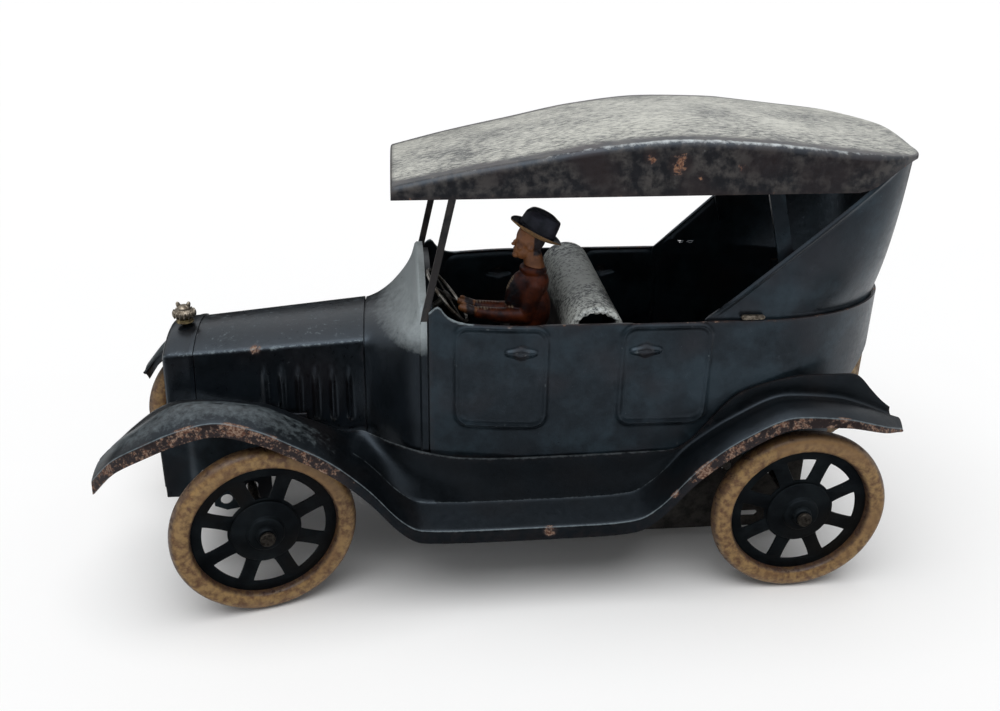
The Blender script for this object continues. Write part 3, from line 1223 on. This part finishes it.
def driver(paints):
    """Seated tin driver: trunk, arms held forward to the wheel, round head and a brimmed hat tipped back."""
    paint = paints["driver"]
    side = DRIVER_SIDE
    base = PAN_TOP + SEAT_HEIGHT + 2 * GAP
    tilt = -math.radians(HAT_TILT)
    outline = [
        (-0.0098, base), (-0.0012, base), (-0.0016, BELT_Z - 0.0040), (-0.0022, BELT_Z + 0.0020),
        (-0.0028, BELT_Z + 0.0048), (-0.0040, BELT_Z + 0.0073), (-0.0078, BELT_Z + 0.0078),
        (-0.0088, BELT_Z + 0.0052), (-0.0094, BELT_Z + 0.0010), (-0.0100, BELT_Z - 0.0050),
    ]
    trunk = extruded("driver", outline, [], side - DRIVER_HALF_THICKNESS, 2 * DRIVER_HALF_THICKNESS, "Y", paint)
    soften = trunk.modifiers.new("round", "BEVEL")
    soften.width = 0.0009
    soften.segments = 2
    soften.limit_method = "ANGLE"
    forms = [
        blob("neck_form", (-0.0060, side, BELT_Z + 0.0088), (0.0021, 0.0020, 0.0032), paint, 0.0, 12, 6),
        blob("head_form", (-0.0047, side, BELT_Z + 0.0126), (0.0033, 0.0027, 0.0039), paint, tilt / 2),
        blob("brim_form", (-0.0060, side, BELT_Z + 0.0142), (0.0058, 0.0046, 0.0006), paint, tilt),
    ]
    crown = turned("crown_form", [
        (0.0, -0.0006), (0.0035, -0.0006), (0.0034, 0.0016), (0.0031, 0.0030), (0.0022, 0.0038), (0.0, 0.0039),
    ], "Z", paint, 14)
    crown.rotation_euler = (0, tilt, 0)
    crown.location = (-0.0062, side, BELT_Z + 0.0142)
    forms.append(crown)
    arm = [
        (-0.0072, BELT_Z + 0.0044), (-0.0072, BELT_Z - 0.0006), (-0.0034, BELT_Z - 0.0046), (0.0062, BELT_Z - 0.0033),
        (0.0090, BELT_Z - 0.0013), (0.0086, BELT_Z - 0.0002), (0.0056, BELT_Z - 0.0004), (0.0002, BELT_Z - 0.0008),
        (-0.0016, BELT_Z + 0.0006), (-0.0030, BELT_Z + 0.0044),
    ]
    for number, shift in enumerate((0.0026, -0.0026)):
        forms.append(extruded(f"arm_form_{number}", arm, [], side + shift - 0.0010, 0.0020, "Y", paint))
    for form in forms:
        combine(trunk, form, "UNION")
    return trunk


def panel_tabs(paint):
    """Bare folded tabs of the quarter panel, bent down on the top edge of each body side."""
    for name, side in (("left_panel_tab", 1), ("right_panel_tab", -1)):
        x = QUARTER_TIP_X - 0.0093
        outline = rounded_box((x - 0.0024, BELT_Z + GAP), (x + 0.0024, BELT_Z + GAP + 0.0009), 0.0003, 1)
        start = side * (BODY_HALF_WIDTH + GAP) - (0.0007 if side > 0 else 0.0)
        extruded(name, outline, [], start, 0.0007, "Y", paint)


def paints():
    return {
        "black": material("black_enamel", (0.020, 0.026, 0.032), 0.38, 0.0),
        "roof": material("faded_enamel", (0.235, 0.250, 0.235), 0.60, 0.0),
        "tyre": material("tan_enamel", (0.330, 0.200, 0.085), 0.60, 0.0),
        "wheel": material("wheel_enamel", (0.030, 0.038, 0.044), 0.45, 0.0),
        "core": material("radiator_enamel", (0.022, 0.024, 0.028), 0.55, 0.0),
        "seat": material("worn_enamel", (0.210, 0.225, 0.215), 0.60, 0.0),
        "driver": material("litho_brown", (0.130, 0.045, 0.020), 0.50, 0.0),
        "steel": material("steel", (0.300, 0.295, 0.285), 0.40, 1.0),
        "brass": material("brass", (0.500, 0.360, 0.150), 0.38, 1.0),
        "bare": material("rusted_tinplate", (0.240, 0.185, 0.110), 0.55, 0.5),
    }


def main():
    clear_scene()
    colours = paints()
    chassis_pan(colours["black"])
    body_sides(colours["black"])
    body_back_panel(colours["bare"])
    fenders(colours["black"])
    hood(colours["black"])
    radiator(colours["black"], colours["core"])
    filler_cap(colours["brass"])
    cowl(colours["black"])
    dashboard(colours["black"])
    windshield_posts(colours["black"])
    roof(colours["roof"])
    quarter_panel(colours["black"])
    bow_struts(colours["black"])
    panel_tabs(colours["bare"])
    seats(colours["seat"])
    steering(colours)
    driver(colours)
    front_axle_group(colours)
    motor(colours)


main()
